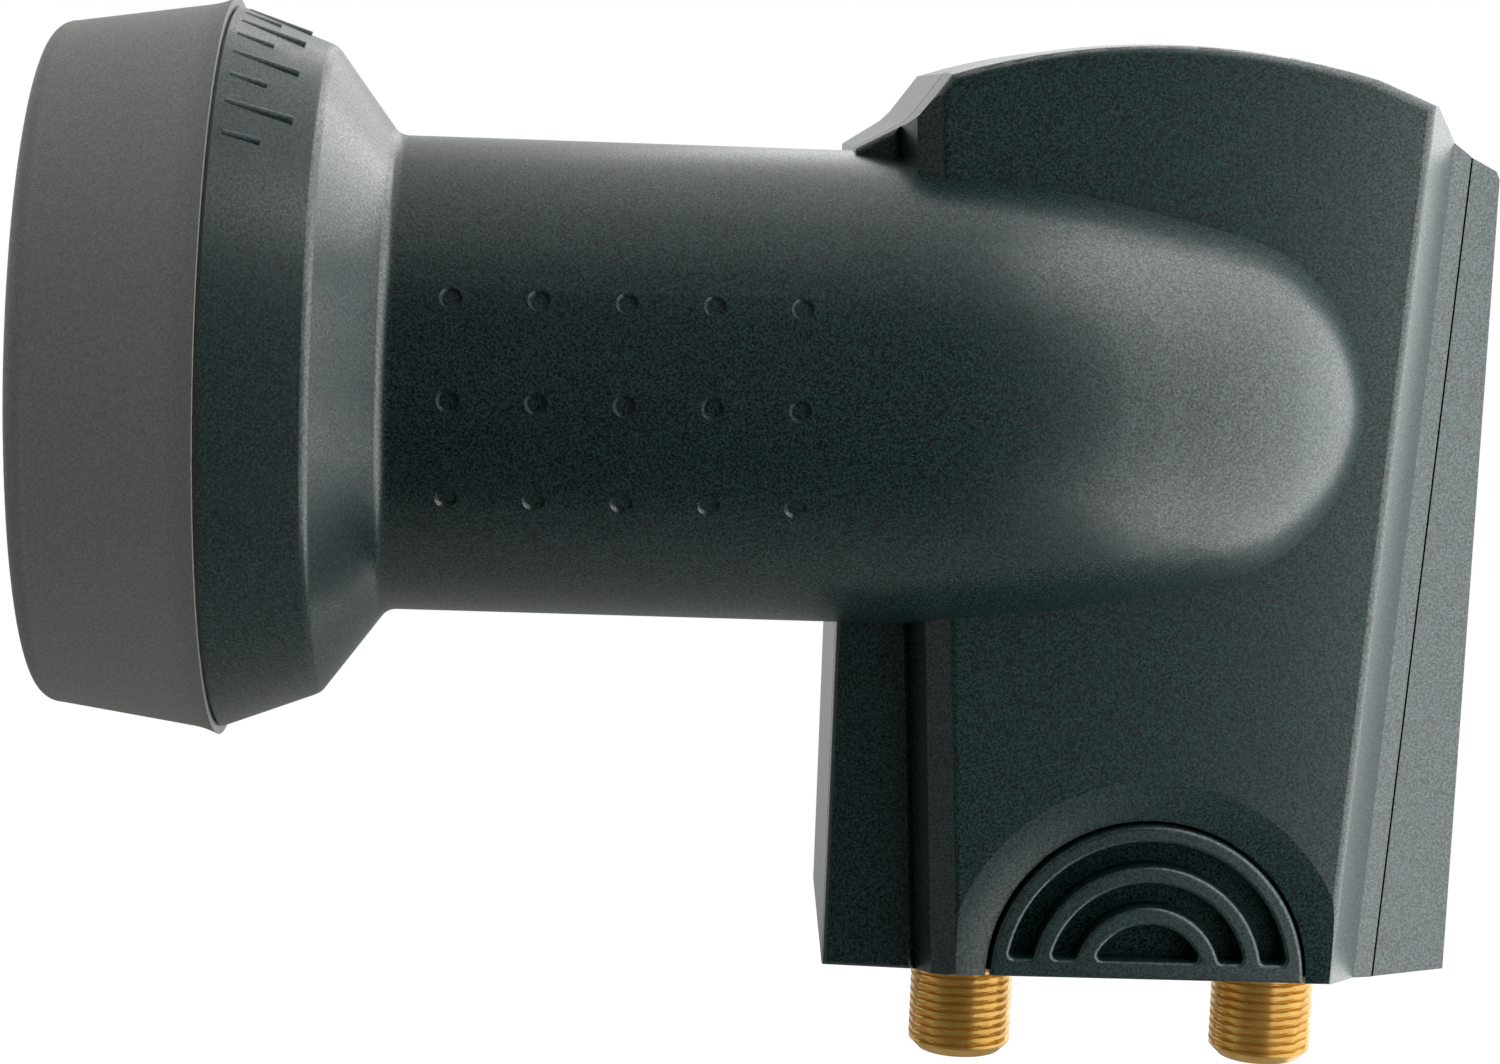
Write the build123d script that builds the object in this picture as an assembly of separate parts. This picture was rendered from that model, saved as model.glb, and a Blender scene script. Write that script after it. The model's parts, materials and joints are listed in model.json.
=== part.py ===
"""Satellite LNB: 40 mm neck, two-half housing, die-cast chassis, two F connectors, slide-out guard.

Frame: +X runs along the neck from the feed to the body, +Z is up, the near half faces -Y.
The origin is the middle of the 40 mm neck on the waveguide axis. Sizes in millimetres.
"""
import os
from math import atan, degrees, radians, tan

from build123d import *

# Feed end: cap, ring, cone and neck, all turned about the X axis
NECK_R = 20.0
NECK_FRONT = -18.8
BODY_LEFT = 19.35
RING_FRONT = -32.2
RING_FRONT_R = 30.25
RING_REAR = -24.2
RING_REAR_R = 27.25
RING_SOFT = 1.5
CAP_FRONT = -47.4
CAP_FRONT_R = 28.6
CAP_REAR_R = 30.3
CAP_LIP_R = 30.95
CAP_FLARE = 2.0
CAP_EDGE = 1.8
CAP_WALL = 1.6
CAP_BORE_R = 26.9
CAP_SPIGOT_R = RING_FRONT_R - 0.45
SEAL_R = 0.95
SEAM_GAP = 0.3
WALL = 2.0

# Skew scale ribs on the ring
SCALE_COUNT = 15
SCALE_STEP = 6.6
RIB_LONG = 5.5
RIB_SHORT = 3.1
RIB_START = 0.6
RIB_R = 0.55
RIB_HIGH = 0.05
RIB_RISE = 0.045

# Dimples on the neck
DIMPLE_COLS = 5
DIMPLE_PITCH = 7.02
DIMPLE_FIRST = -13.5
DIMPLE_ANGLE = 23.7
DIMPLE_R = 0.68
DIMPLE_RIM_R = 0.92
DIMPLE_DEEP = 0.3

# Housing body: parting plane at y = 0, near face at NEAR_Y
NEAR_Y = -8.0
BAND_Y = -6.4
SIDE_Y = -3.5
SIDE_EDGE_Y = -1.5
STRIP_Y = -1.3
BACK_Y = 31.5
TOP_Z = 34.0
BOTTOM_Z = -50.4
LOW_Z = -53.0
FAR_X = 90.0
BOTTOM_RISE = 0.16
BODY_RIGHT = 74.75
BACK_DRAFT = 0.95
DOME_X = 45.8
DOME_Z = 29.8
DOME_R = 63.0
SEAM_STEP = 0.5
EDGE_R = 0.9
SIDE_R = 0.6

# Places across the near half at the height of the axis; the sides lean by BODY_LEAN per mm of height
BODY_LEAN = 0.059
SIDE_LEFT = 15.7
GROOVE_X = 23.9
GROOVE_WIDE = 0.35
GROOVE_DEEP = 0.5
COVER_LEFT = 25.4
FACE_LEFT = 27.6
FACE_RIGHT = 65.1
STRIP_RIGHT = 68.7
SEAM_RIGHT = 70.5

# Shoulder above the neck and the cut corner at the right of the dome, in front view
SHOULDER = [(BODY_LEFT, 20.3), (23.3, 22.5), (24.2, 23.4), (26.6, 26.7)]
SHOULDER_END = (31.9, TOP_Z)
CORNER_X = 62.0
CORNER_FOOT = (71.9, 21.2)
FACE_CORNER_X = 68.0

# Nose and the far half's front strip
NOSE = [(31.0, 19.8), (36.0, 19.3), (41.0, 18.55), (47.0, 17.35), (52.2, 16.2), (55.2, 15.1), (58.0, 13.25),
        (60.4, 10.85), (62.3, 8.0)]
NOSE_TIP = 64.3
STRIP_SLOPE = 25.0
STRIP_TOP = [(74.4, 20.1), (BODY_RIGHT, 19.4)]

# Weather guard
GRIP_X = 46.6
GRIP_Z = -49.1
GRIP_R = 13.4
GRIP_GAP = 0.35
GRIP_POCKETS = [(12.0, 9.9), (8.4, 6.35), (4.8, 0.0)]
GRIP_BASE = 1.6
POCKET_R = 0.45
RIDGE_R = 0.35
SCOOP_WIDE = 3.4
SCOOP_DEEP = 0.8
SCOOP_EDGE = 0.12
GUARD_TOP = -21.0
GUARD_WALL = 1.5
RUN_GAP = 0.35
TONGUE_LEFT = 32.0
TONGUE_RIGHT = 60.4
TONGUE_Y = NEAR_Y + WALL + RUN_GAP
GUARD_LEFT = 25.4
GUARD_RIGHT = 70.8
GUARD_FRONT = 4.0
GUARD_BACK = 29.2

# Chassis
TUBE_R = 11.5
BORE_R = 8.9
TUBE_END = 52.0
BORE_END = 49.5
SEPTUM_R = 0.8
HORN_R = 24.6
HORN_REAR = -25.8
HORN_FRONT = -32.6
CHOKES = [(22.2, 18.6), (16.8, 13.2)]
CHAMBER = (28.3, 67.6, -44.0, 20.0)
FLOOR_Y = 10.0
FLOOR_T = 2.5
FLANGE_Y = 25.2
CHASSIS_WALL = 2.2
LID_T = 1.2
SEAL_T = 0.5

# Board
BOARD_T = 1.6
BOARD_GAP = 1.0
POST_R = 2.0
LOW_POST = 10.0
SHIELD = (34.0, 52.0, -6.0, 14.4)
SHIELD_H = 4.0
SHIELD_T = 0.4
CRYSTAL = (54.5, 59.0, -2.0, 9.0)
CRYSTAL_H = 2.6
CHIP = (54.0, 59.5, -14.0, -8.5)
CHIP_H = 0.9
REGULATOR = (44.0, 50.0, -30.0, -23.5)
REGULATOR_H = 1.6
TRANSISTOR = 0.9
TRANSISTOR_H = 1.1
TRANSISTOR_STEP = 2.6

# F connectors
JACK_X = (33.8, 61.95)
JACK_Y = 20.5
JACK_END = -63.5
THREAD_R = 4.7
FLANGE_R = 5.6
FLANGE_T = 2.0
BOSS_R = 5.8
BOSS_H = 2.0
SHANK_R = 4.0
SHANK_GAP = 0.1
PIN_R = 0.5
CONTACT_R = 0.9
JACK_BORE_R = 3.3
JACK_MOUTH_R = 2.4
JACK_LIP = 1.2
END_CHAMFER = 0.9

# Board height and probes
BOARD_TOP = JACK_Y - PIN_R - 0.05
BOARD_LOW = BOARD_TOP - BOARD_T
PROBE_A = (36.0, 0.0)
PROBE_B = (46.0, 12.6)
SEPTUM_X = 41.0
BUSH_R = 1.6
PROBE_R = 0.6
PROBE_REACH = 4.0
PROBE_HEAD_R = 1.1
PROBE_HEAD = 0.4

# Fasteners
LUG_R = 2.6
SCREW_R = 1.25
SCREW_HEAD_R = 2.3
SCREW_HEAD = 0.5
LID_SCREW = 6.0
SHELL_SCREW_X = (38.0, 54.0)
SHELL_SCREW_Z = 23.4
SHELL_POST_R = 2.3
SHELL_SCREW_SEAT = BACK_Y - 6.0
REST_R = 2.2
REST_EDGE = 9.0
REST_Z = (-12.0, 14.0)


def box(x0, x1, y0, y1, z0, z1):
    """Box between two corners."""
    return Pos((x0 + x1) / 2, (y0 + y1) / 2, (z0 + z1) / 2) * Box(x1 - x0, y1 - y0, z1 - z0)


def x_rod(r, x0, x1, y=0.0, z=0.0):
    """Round bar along X."""
    return Pos((x0 + x1) / 2, y, z) * Rot(0, 90, 0) * Cylinder(r, x1 - x0)


def y_rod(r, y0, y1, x, z):
    """Round bar along Y."""
    return Pos(x, (y0 + y1) / 2, z) * Rot(90, 0, 0) * Cylinder(r, y1 - y0)


def z_rod(r, z0, z1, x, y):
    """Round bar along Z."""
    return Pos(x, y, (z0 + z1) / 2) * Cylinder(r, z1 - z0)


def domed_face(y, outline, peak):
    """Face at depth y: an open (x, z) outline closed by the dome arc through peak."""
    edges = Polyline(*outline) + ThreePointArc(outline[-1], peak, outline[0])
    return Plane.XZ.offset(-y) * make_face(edges)


def flat_face(y, outline):
    """Face at depth y from a closed (x, z) outline."""
    return Plane.XZ.offset(-y) * make_face(Polyline(*outline, close=True))


def half(solid, near):
    """Near or far half of a solid, cut at the parting plane."""
    keep = Keep.TOP if near else Keep.BOTTOM
    return split(solid, bisect_by=Plane.XZ, keep=keep)


def shell_turning(inset):
    """Ring, cone and neck about the axis, inset from the outside."""
    reach = BODY_LEFT + 3.0
    front = RING_FRONT
    if inset:
        front = RING_FRONT - 1.0
    outer = [(front, RING_FRONT_R - 1.2 * inset), (RING_REAR - 0.5 * inset, RING_REAR_R - 1.1 * inset),
             (NECK_FRONT - 0.5 * inset, NECK_R - inset), (reach, NECK_R - inset)]
    side = FilletPolyline(*outer, radius=RING_SOFT)
    return revolve(make_face(side + Polyline(outer[-1], (reach, 0.0), (front, 0.0), outer[0])), Axis.X)


def nose(inset):
    """Bullet nose that carries the neck on over the near face: a slow taper with a ball end."""
    start = (BODY_LEFT - 1.0, NECK_R - inset)
    skin = [(x - 0.6 * inset, r - inset) for x, r in NOSE]
    tip = (NOSE_TIP - inset, 0.0)
    edge = Spline(start, *skin, tip, tangents=[(1, 0), (0, -1)])
    return revolve(make_face(edge + Polyline(tip, (start[0], 0.0), start)), Axis.X)


def scale_ribs():
    """Raised skew scale about the top of the ring: long and short round ticks that rise to the rear."""
    ribs = []
    slope = (RING_REAR_R - RING_FRONT_R) / (RING_REAR - RING_FRONT)
    start = RING_FRONT_R + slope * RIB_START + RIB_HIGH - RIB_R
    lean = Pos(RING_FRONT + RIB_START, 0, start) * Rot(0, -degrees(atan(slope + RIB_RISE)), 0)
    for i in range(SCALE_COUNT):
        step = i - SCALE_COUNT // 2
        rib = x_rod(RIB_R, 0.0, RIB_LONG if step % 2 == 0 else RIB_SHORT)
        ribs.append(Rot(step * SCALE_STEP, 0, 0) * lean * rib)
    return ribs


def dimples():
    """Blind pits with sloped walls in three rows on the near side of the neck."""
    pits = []
    mouth_r = 2 * DIMPLE_RIM_R - DIMPLE_R
    for row in (-1, 0, 1):
        for col in range(DIMPLE_COLS):
            pit = Rot(90, 0, 0) * Cone(DIMPLE_R, mouth_r, 2 * DIMPLE_DEEP)
            spot = Pos(DIMPLE_FIRST + col * DIMPLE_PITCH, -NECK_R, 0)
            pits.append(Rot(row * DIMPLE_ANGLE, 0, 0) * spot * pit)
    return pits


def leaning(x, z, side):
    """Place at height z of an edge that leans out to the top on its side, from its place x at the axis."""
    return x + side * BODY_LEAN * z


def leaning_block(plan, side):
    """Block over the whole height from a plan at the axis, leaning out to the top on its side."""
    points = [(leaning(x, LOW_Z, side), y) for x, y in plan]
    face = Plane.XY.offset(LOW_Z) * make_face(Polyline(*points, close=True))
    rise = Vector(side * BODY_LEAN, 0.0, 1.0) * (TOP_Z - LOW_Z)
    return extrude(face, rise.length, rise)


def dome_height(x):
    """Height of the dome over a place x."""
    return DOME_Z - DOME_R + (DOME_R ** 2 - (x - DOME_X) ** 2) ** 0.5


def corner_cut(inset):
    """What the right of the dome loses behind the face: a corner cut that grows towards the strip."""
    drop = 1.5 * inset
    sections = []
    for y, tip_x, tip_z in ((NEAR_Y, FACE_CORNER_X, dome_height(FACE_CORNER_X)), (STRIP_Y, *CORNER_FOOT)):
        start = (CORNER_X, dome_height(CORNER_X) - drop)
        outline = [(CORNER_X, TOP_Z), start, (tip_x, tip_z - drop), (FAR_X, tip_z - drop), (FAR_X, TOP_Z)]
        sections.append(flat_face(y, outline))
    return loft(sections, ruled=True) + extrude(sections[1], -BACK_Y)


def front_limit(inset, y0, y1):
    """Front view of the near half between two depths: shoulder, dome, cut corner, leaning right side."""
    outline = [(x + inset, z - inset) for x, z in SHOULDER[:-1]] + [SHOULDER_END]
    right = SEAM_RIGHT - inset
    outline += [(leaning(right, z, 1), z) for z in (TOP_Z, LOW_Z)] + [(BODY_LEFT + inset, LOW_Z)]
    prism = extrude(flat_face(y1, outline), y1 - y0)
    dome = y_rod(DOME_R - inset, y0, y1, DOME_X, DOME_Z - DOME_R)
    return (prism & dome) - corner_cut(inset)


def bottom_wedge(rise):
    """What is cut off below the near half, whose bottom rises from the parting plane to the face."""
    z0 = BOTTOM_Z + rise
    front = 2 * NEAR_Y
    side = [(1.0, z0), (0.0, z0), (front, z0 - front * BOTTOM_RISE), (front, 2 * LOW_Z), (1.0, 2 * LOW_Z)]
    return extrude(Plane.YZ * make_face(Polyline(*side, close=True)), FAR_X)


def cover():
    """Raised cover of the near half: bevel band on its left, flat face, sloped right wall and flange."""
    foot = GROOVE_X + GROOVE_WIDE
    left = [(foot, -SEAM_GAP), (foot, SIDE_Y + GROOVE_DEEP), (COVER_LEFT, BAND_Y), (FACE_LEFT, NEAR_Y),
            (FAR_X, NEAR_Y), (FAR_X, -SEAM_GAP)]
    right = [(BODY_LEFT, -SEAM_GAP), (BODY_LEFT, NEAR_Y), (FACE_RIGHT, NEAR_Y), (STRIP_RIGHT, STRIP_Y),
             (SEAM_RIGHT, -SEAM_GAP)]
    block = leaning_block(left, -1) & leaning_block(right, 1) & front_limit(0.0, NEAR_Y - 1.0, -SEAM_GAP)
    block -= bottom_wedge(0.0)
    face = block.faces().sort_by(Axis.Y)[0]
    return fillet(face.edges(), EDGE_R)


def side_section():
    """Low left section of the near half: its face slopes back from the groove to the left edge."""
    inner = COVER_LEFT + WALL
    plan = [(SIDE_LEFT, -SEAM_GAP), (SIDE_LEFT, SIDE_EDGE_Y), (GROOVE_X, SIDE_Y),
            (GROOVE_X + GROOVE_WIDE, SIDE_Y + GROOVE_DEEP), (inner, SIDE_Y + GROOVE_DEEP), (inner, -SEAM_GAP)]
    block = leaning_block(plan, -1) & front_limit(0.0, NEAR_Y, -SEAM_GAP)
    block -= bottom_wedge(0.0)
    face = block.faces().filter_by(lambda f: f.normal_at().Y < -0.7).sort_by(Axis.X)[0]
    return fillet(face.edges(), SIDE_R)


def parting_rim():
    """Step of the near half inside the seam groove, down to the parting plane."""
    return front_limit(SEAM_STEP, -SEAM_GAP - 0.1, 0.0) - bottom_wedge(SEAM_STEP)


def cover_hollow():
    """Room inside the raised cover, open at the parting plane and at the bottom."""
    foot = COVER_LEFT + WALL
    wall = STRIP_RIGHT - 1.2 * WALL
    back = 1.0
    front = NEAR_Y + WALL
    left = [(foot, back), (foot, BAND_Y + WALL), (FACE_LEFT + 0.6 * WALL, front), (FAR_X, front),
            (FAR_X, back)]
    right = [(BODY_LEFT, back), (BODY_LEFT, front), (FACE_RIGHT - 0.7 * WALL, front), (wall, STRIP_Y),
             (wall, back)]
    return leaning_block(left, -1) & leaning_block(right, 1) & front_limit(WALL, front, back)


def grip_arch():
    """Arch through the near face for the guard's grip, with a dished thumb scoop round it."""
    r = GRIP_R + GRIP_GAP
    arch = y_rod(r, NEAR_Y - 1.0, NEAR_Y + WALL + 1.0, GRIP_X, GRIP_Z)
    outer = (r + SCOOP_WIDE + 1.0, -SCOOP_EDGE)
    inner = (r - 0.5, SCOOP_DEEP)
    side = Polyline(inner, (inner[0], -1.0), (outer[0], -1.0), outer)
    bowl = make_face(side + TangentArc(outer, inner, tangent=(-1.0, SCOOP_EDGE)))
    return arch + Pos(GRIP_X, NEAR_Y, GRIP_Z) * revolve(bowl, Axis.Y)


def shell_posts():
    """Screw posts of the near half."""
    posts = Part()
    for x in SHELL_SCREW_X:
        posts += y_rod(SHELL_POST_R, NEAR_Y + 1.0, 0.0, x, SHELL_SCREW_Z)
    return posts


def make_near_shell():
    """Near housing half."""
    skin = half(shell_turning(0.0) + nose(0.0), True) + cover() + side_section() + parting_rim()
    for rib in scale_ribs():
        skin += half(rib, True)
    room = half(shell_turning(WALL) + nose(WALL), True) + cover_hollow()
    skin = skin - room + (shell_posts() & cover())
    skin -= grip_arch()
    for pit in dimples():
        skin -= pit
    for x in SHELL_SCREW_X:
        skin -= y_rod(SCREW_R, NEAR_Y + 2.5, 1.0, x, SHELL_SCREW_Z)
    return skin


def back_outline(side, bottom):
    """Outline of the deep far half, moved in from its sides and its bottom."""
    right = [(CORNER_X, dome_height(CORNER_X)), CORNER_FOOT] + STRIP_TOP
    outline = [(x - side, z - side) for x, z in right]
    outline += [(BODY_RIGHT - side, BOTTOM_Z + bottom), (BODY_LEFT + side, BOTTOM_Z + bottom)]
    return outline + [(x + side * (1.0 if i == 0 else 0.4), z - side) for i, (x, z) in enumerate(SHOULDER)]


def far_box():
    """Outside of the deep far half, drafted towards the back."""
    draft = BACK_DRAFT
    sections = [domed_face(0.0, back_outline(0.0, 0.0), (DOME_X, DOME_Z)),
                domed_face(BACK_Y - 1.0, back_outline(draft, 0.1), (DOME_X, DOME_Z - draft)),
                domed_face(BACK_Y, back_outline(draft + 1.0, 1.1), (DOME_X, DOME_Z - draft - 1.0))]
    return loft(sections, ruled=True)


def far_hollow():
    """Room inside the far half, behind its front wall on the right."""
    front = 5.2
    draft = 0.4
    sections = [domed_face(front, back_outline(WALL + 0.1, WALL), (DOME_X, DOME_Z - WALL - 0.1)),
                domed_face(BACK_Y - 1.8, back_outline(WALL + draft, WALL), (DOME_X, DOME_Z - WALL - draft))]
    room = loft(sections, ruled=True)
    mouth = front_limit(WALL, -0.5, front + 0.1)
    mouth -= box(STRIP_RIGHT - 1.2 * WALL, FAR_X, -1.0, front + 1.0, LOW_Z, TOP_Z)
    return room + mouth


def strip_wedge():
    """Wedge that slopes the far half's front strip back to the right of the seam."""
    wide = FAR_X - SEAM_RIGHT
    deep = wide * tan(radians(STRIP_SLOPE))
    slope = make_face(Polyline((0.0, 0.0), (wide, deep), (wide, -1.0), (0.0, -1.0), close=True))
    lean = degrees(atan(BODY_LEAN))
    return Pos(SEAM_RIGHT, 0.0, 0.0) * Rot(0, lean, 0) * extrude(slope, FAR_X, both=True)


def guard_bay():
    """Open bottom of the far half where the guard slides out."""
    return box(GUARD_LEFT - RUN_GAP, GUARD_RIGHT + RUN_GAP, GUARD_FRONT - RUN_GAP, GUARD_BACK + RUN_GAP,
               BOTTOM_Z - 1.0, GUARD_TOP)


def lid_rests():
    """Short posts of the far half that clamp the chassis lid."""
    rests = Part()
    for x in (CHAMBER[0] + REST_EDGE, CHAMBER[1] - REST_EDGE):
        for z in REST_Z:
            rests += y_rod(REST_R, FLANGE_Y + SEAL_T + LID_T, BACK_Y - 1.5, x, z)
    return rests


def make_far_shell():
    """Far housing half."""
    skin = half(shell_turning(0.0), False) + far_box()
    for rib in scale_ribs():
        skin += half(rib, False)
    skin = skin - half(shell_turning(WALL), False) - far_hollow() - strip_wedge() - guard_bay()
    skin += lid_rests()
    for x in SHELL_SCREW_X:
        skin += y_rod(SHELL_POST_R, 0.0, BACK_Y - 1.5, x, SHELL_SCREW_Z) & far_box()
        skin -= y_rod(SCREW_R + 0.2, -1.0, BACK_Y + 1.0, x, SHELL_SCREW_Z)
        skin -= y_rod(SCREW_HEAD_R - 0.4, SHELL_SCREW_SEAT, BACK_Y + 1.0, x, SHELL_SCREW_Z)
    return skin


def guard_ring(inset, z0, z1):
    """Guard's plan outline between two heights, moved in by the wall."""
    left = TONGUE_LEFT + inset
    right = TONGUE_RIGHT - inset
    plan = [(left, TONGUE_Y + inset), (right, TONGUE_Y + inset), (right, GUARD_FRONT + inset),
            (GUARD_RIGHT - inset, GUARD_FRONT + inset), (GUARD_RIGHT - inset, GUARD_BACK - inset),
            (GUARD_LEFT + inset, GUARD_BACK - inset), (GUARD_LEFT + inset, GUARD_FRONT + inset),
            (left, GUARD_FRONT + inset)]
    return Pos(0, 0, z0) * extrude(make_face(Polyline(*plan, close=True)), z1 - z0)


def half_disc(r, y0, y1, base=0.0):
    """Half-round plate above the grip's base line, standing on its flat edge."""
    disc = y_rod(r, y0, y1, GRIP_X, GRIP_Z)
    return disc & box(GRIP_X - r, GRIP_X + r, y0, y1, GRIP_Z + base, GRIP_Z + r)


def grip_pocket(outer, inner):
    """Arched pocket between two ridges of the grip, with rounded corners."""
    pocket = half_disc(outer, NEAR_Y - 1.0, TONGUE_Y, GRIP_BASE)
    if inner:
        pocket -= y_rod(inner, NEAR_Y - 2.0, TONGUE_Y + 1.0, GRIP_X, GRIP_Z)
    return fillet(pocket.edges().filter_by(Axis.Y), POCKET_R)


def make_weather_guard():
    """Slide-out sleeve with the ridged half-round grip."""
    sleeve = guard_ring(0.0, GRIP_Z, GUARD_TOP) - guard_ring(GUARD_WALL, GRIP_Z - 1.0, GUARD_TOP + 1.0)
    grip = half_disc(GRIP_R, NEAR_Y, TONGUE_Y + 0.5)
    for outer, inner in GRIP_POCKETS:
        grip -= grip_pocket(outer, inner)
    front = grip.faces().sort_by(Axis.Y)[0]
    return sleeve + fillet(front.edges(), RIDGE_R)


def make_feed_cap():
    """Cap over the horn's mouth: rounded front edge, tapered side and a flared rear lip."""
    lip = (RING_FRONT - SEAM_GAP, CAP_LIP_R)
    front = (CAP_FRONT + CAP_EDGE, CAP_FRONT_R)
    flare = (lip[0] - CAP_FLARE, CAP_REAR_R)
    inner = CAP_FRONT + CAP_WALL
    edge = (CAP_FRONT, CAP_FRONT_R - CAP_EDGE)
    taper = (flare[0] - front[0], flare[1] - front[1])
    outside = TangentArc(edge, front, tangent=(0.0, 1.0)) + Line(front, flare)
    outside += TangentArc(flare, lip, tangent=taper)
    rest = Polyline(lip, (lip[0], CAP_SPIGOT_R), (RING_FRONT, CAP_SPIGOT_R), (RING_FRONT, CAP_BORE_R),
                    (inner, CAP_BORE_R), (inner, 0.0), (CAP_FRONT, 0.0), edge)
    return revolve(make_face(outside + rest), Axis.X)


def make_cap_seal():
    """O-ring between the horn's rim and the cap."""
    ring_r = HORN_R + SEAL_R
    seal_x = HORN_FRONT - SEAL_R - 0.4
    return Pos(seal_x, 0, 0) * Rot(0, 90, 0) * Torus(ring_r, SEAL_R)


def horn():
    """Choke-ring horn: disc with two ring grooves round the mouth of the waveguide."""
    lip = HORN_FRONT - 3.0
    disc = x_rod(HORN_R, HORN_FRONT, HORN_REAR) + x_rod(HORN_R - 1.0, lip, HORN_FRONT)
    for outer, inner in CHOKES:
        groove = x_rod(outer, lip - 1.0, HORN_REAR - 1.8) - x_rod(inner, lip - 2.0, HORN_REAR)
        disc -= groove
    return disc


def board_posts():
    """Centres of the posts that carry the board."""
    x0, x1, z0, z1 = CHAMBER
    edge = CHASSIS_WALL + POST_R + 0.6
    return [(x, z) for x in (x0 + edge, x1 - edge) for z in (z0 + LOW_POST, z1 - edge)]


def lid_screw_spots():
    """Centres of the lid screws: top corners, both sides above the connectors, top and bottom middle."""
    x0, x1, z0, z1 = CHAMBER
    sides = [(x, z) for x in (x0 + LUG_R, x1 - LUG_R) for z in (z0 + 15.0, z1 - LUG_R)]
    return sides + [((x0 + x1) / 2, z0 + LUG_R), ((x0 + x1) / 2, z1 - LUG_R)]


def make_chassis():
    """Die-cast chassis: horn, waveguide tube and board chamber in one casting."""
    x0, x1, z0, z1 = CHAMBER
    body = horn() + x_rod(TUBE_R, HORN_REAR - 1.0, TUBE_END)
    body += x_rod(NECK_R - WALL, -4.0, 4.0)
    chamber = box(x0, x1, FLOOR_Y, FLANGE_Y, z0, z1)
    w = CHASSIS_WALL
    chamber -= box(x0 + w, x1 - w, FLOOR_Y + FLOOR_T, FLANGE_Y + 1.0, z0 + w + 1.3, z1 - w)
    body += chamber
    for x, z in lid_screw_spots():
        body += y_rod(LUG_R, FLOOR_Y, FLANGE_Y, x, z) & box(x0, x1, FLOOR_Y, FLANGE_Y, z0, z1)
        body -= y_rod(SCREW_R, FLANGE_Y - LID_SCREW - 2.0, FLANGE_Y + 1.0, x, z)
    for x, z in board_posts():
        body += y_rod(POST_R, FLOOR_Y + 1.0, BOARD_LOW, x, z)
    for x in JACK_X:
        body += z_rod(BOSS_R, z0 - BOSS_H, z0, x, JACK_Y)
        body -= z_rod(SHANK_R + SHANK_GAP, z0 - BOSS_H - 1.0, z0 + w + 2.0, x, JACK_Y)
    body -= x_rod(BORE_R, HORN_FRONT - 5.0, BORE_END)
    body -= y_rod(BUSH_R, 0.0, FLOOR_Y + FLOOR_T + 1.0, *PROBE_A)
    body -= y_rod(BUSH_R, FLOOR_Y - 0.5, FLOOR_Y + FLOOR_T + 1.0, *PROBE_B)
    body -= box(PROBE_B[0] - 1.6, PROBE_B[0] + 1.6, -1.6, FLOOR_Y, BORE_R - 2.0, PROBE_B[1] + 1.6)
    body -= z_rod(SEPTUM_R, -TUBE_R - 1.0, TUBE_R + 1.0, SEPTUM_X, 0.0)
    return body


def make_septum_pin():
    """Reflecting pin pressed across the waveguide."""
    return z_rod(SEPTUM_R, -TUBE_R + 0.4, TUBE_R - 0.4, SEPTUM_X, 0.0)


def make_lid_seal():
    """Flat gasket between chamber rim and lid."""
    x0, x1, z0, z1 = CHAMBER
    w = CHASSIS_WALL
    seal = box(x0, x1, FLANGE_Y, FLANGE_Y + SEAL_T, z0, z1)
    seal -= box(x0 + w, x1 - w, FLANGE_Y - 1, FLANGE_Y + 2, z0 + w + 1.3, z1 - w)
    for x, z in lid_screw_spots():
        seal -= y_rod(SCREW_R + 0.25, FLANGE_Y - 1, FLANGE_Y + 2, x, z)
    return seal


def make_chassis_lid():
    """Flat lid of the board chamber."""
    x0, x1, z0, z1 = CHAMBER
    y0 = FLANGE_Y + SEAL_T
    lid = box(x0, x1, y0, y0 + LID_T, z0, z1)
    for x, z in lid_screw_spots():
        lid -= y_rod(SCREW_R + 0.25, y0 - 1.0, y0 + LID_T + 1.0, x, z)
    return lid


def make_lid_screws():
    """Low-head screws of the lid."""
    y0 = FLANGE_Y + SEAL_T + LID_T
    screws = []
    for x, z in lid_screw_spots():
        head = y_rod(SCREW_HEAD_R, y0, y0 + SCREW_HEAD, x, z)
        slot = box(x - 1.6, x + 1.6, y0 + 0.2, y0 + 1.0, z - 0.25, z + 0.25)
        screws.append(head + y_rod(SCREW_R - 0.05, FLANGE_Y - LID_SCREW, y0 + 0.1, x, z) - slot)
    return Compound(children=screws)


def make_circuit_board():
    """Converter board, standing on the chamber's posts."""
    x0, x1, z0, z1 = CHAMBER
    edge = CHASSIS_WALL + BOARD_GAP
    board = box(x0 + edge, x1 - edge, BOARD_LOW, BOARD_TOP, z0 + edge + 4.0, z1 - edge)
    for x, z in lid_screw_spots():
        board -= y_rod(LUG_R + 0.4, BOARD_LOW - 1, BOARD_TOP + 1, x, z)
    for x, z in (PROBE_A, PROBE_B):
        board -= y_rod(PROBE_R + 0.1, BOARD_LOW - 1, BOARD_TOP + 1, x, z)
    return board


def make_shield_frame():
    """Screening frame over the front-end stage."""
    t = SHIELD_T
    x0, x1, z0, z1 = SHIELD
    frame = box(x0, x1, BOARD_TOP, BOARD_TOP + SHIELD_H, z0, z1)
    return frame - box(x0 + t, x1 - t, BOARD_TOP - 1, BOARD_TOP + SHIELD_H - t, z0 + t, z1 - t)


def probe_head(spot):
    """Solder head of a probe on the board."""
    return y_rod(PROBE_HEAD_R, BOARD_TOP, BOARD_TOP + PROBE_HEAD, *spot)


def make_probe_straight():
    """Straight probe into the waveguide."""
    return y_rod(PROBE_R, PROBE_REACH, BOARD_TOP + 0.1, *PROBE_A) + probe_head(PROBE_A)


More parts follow.
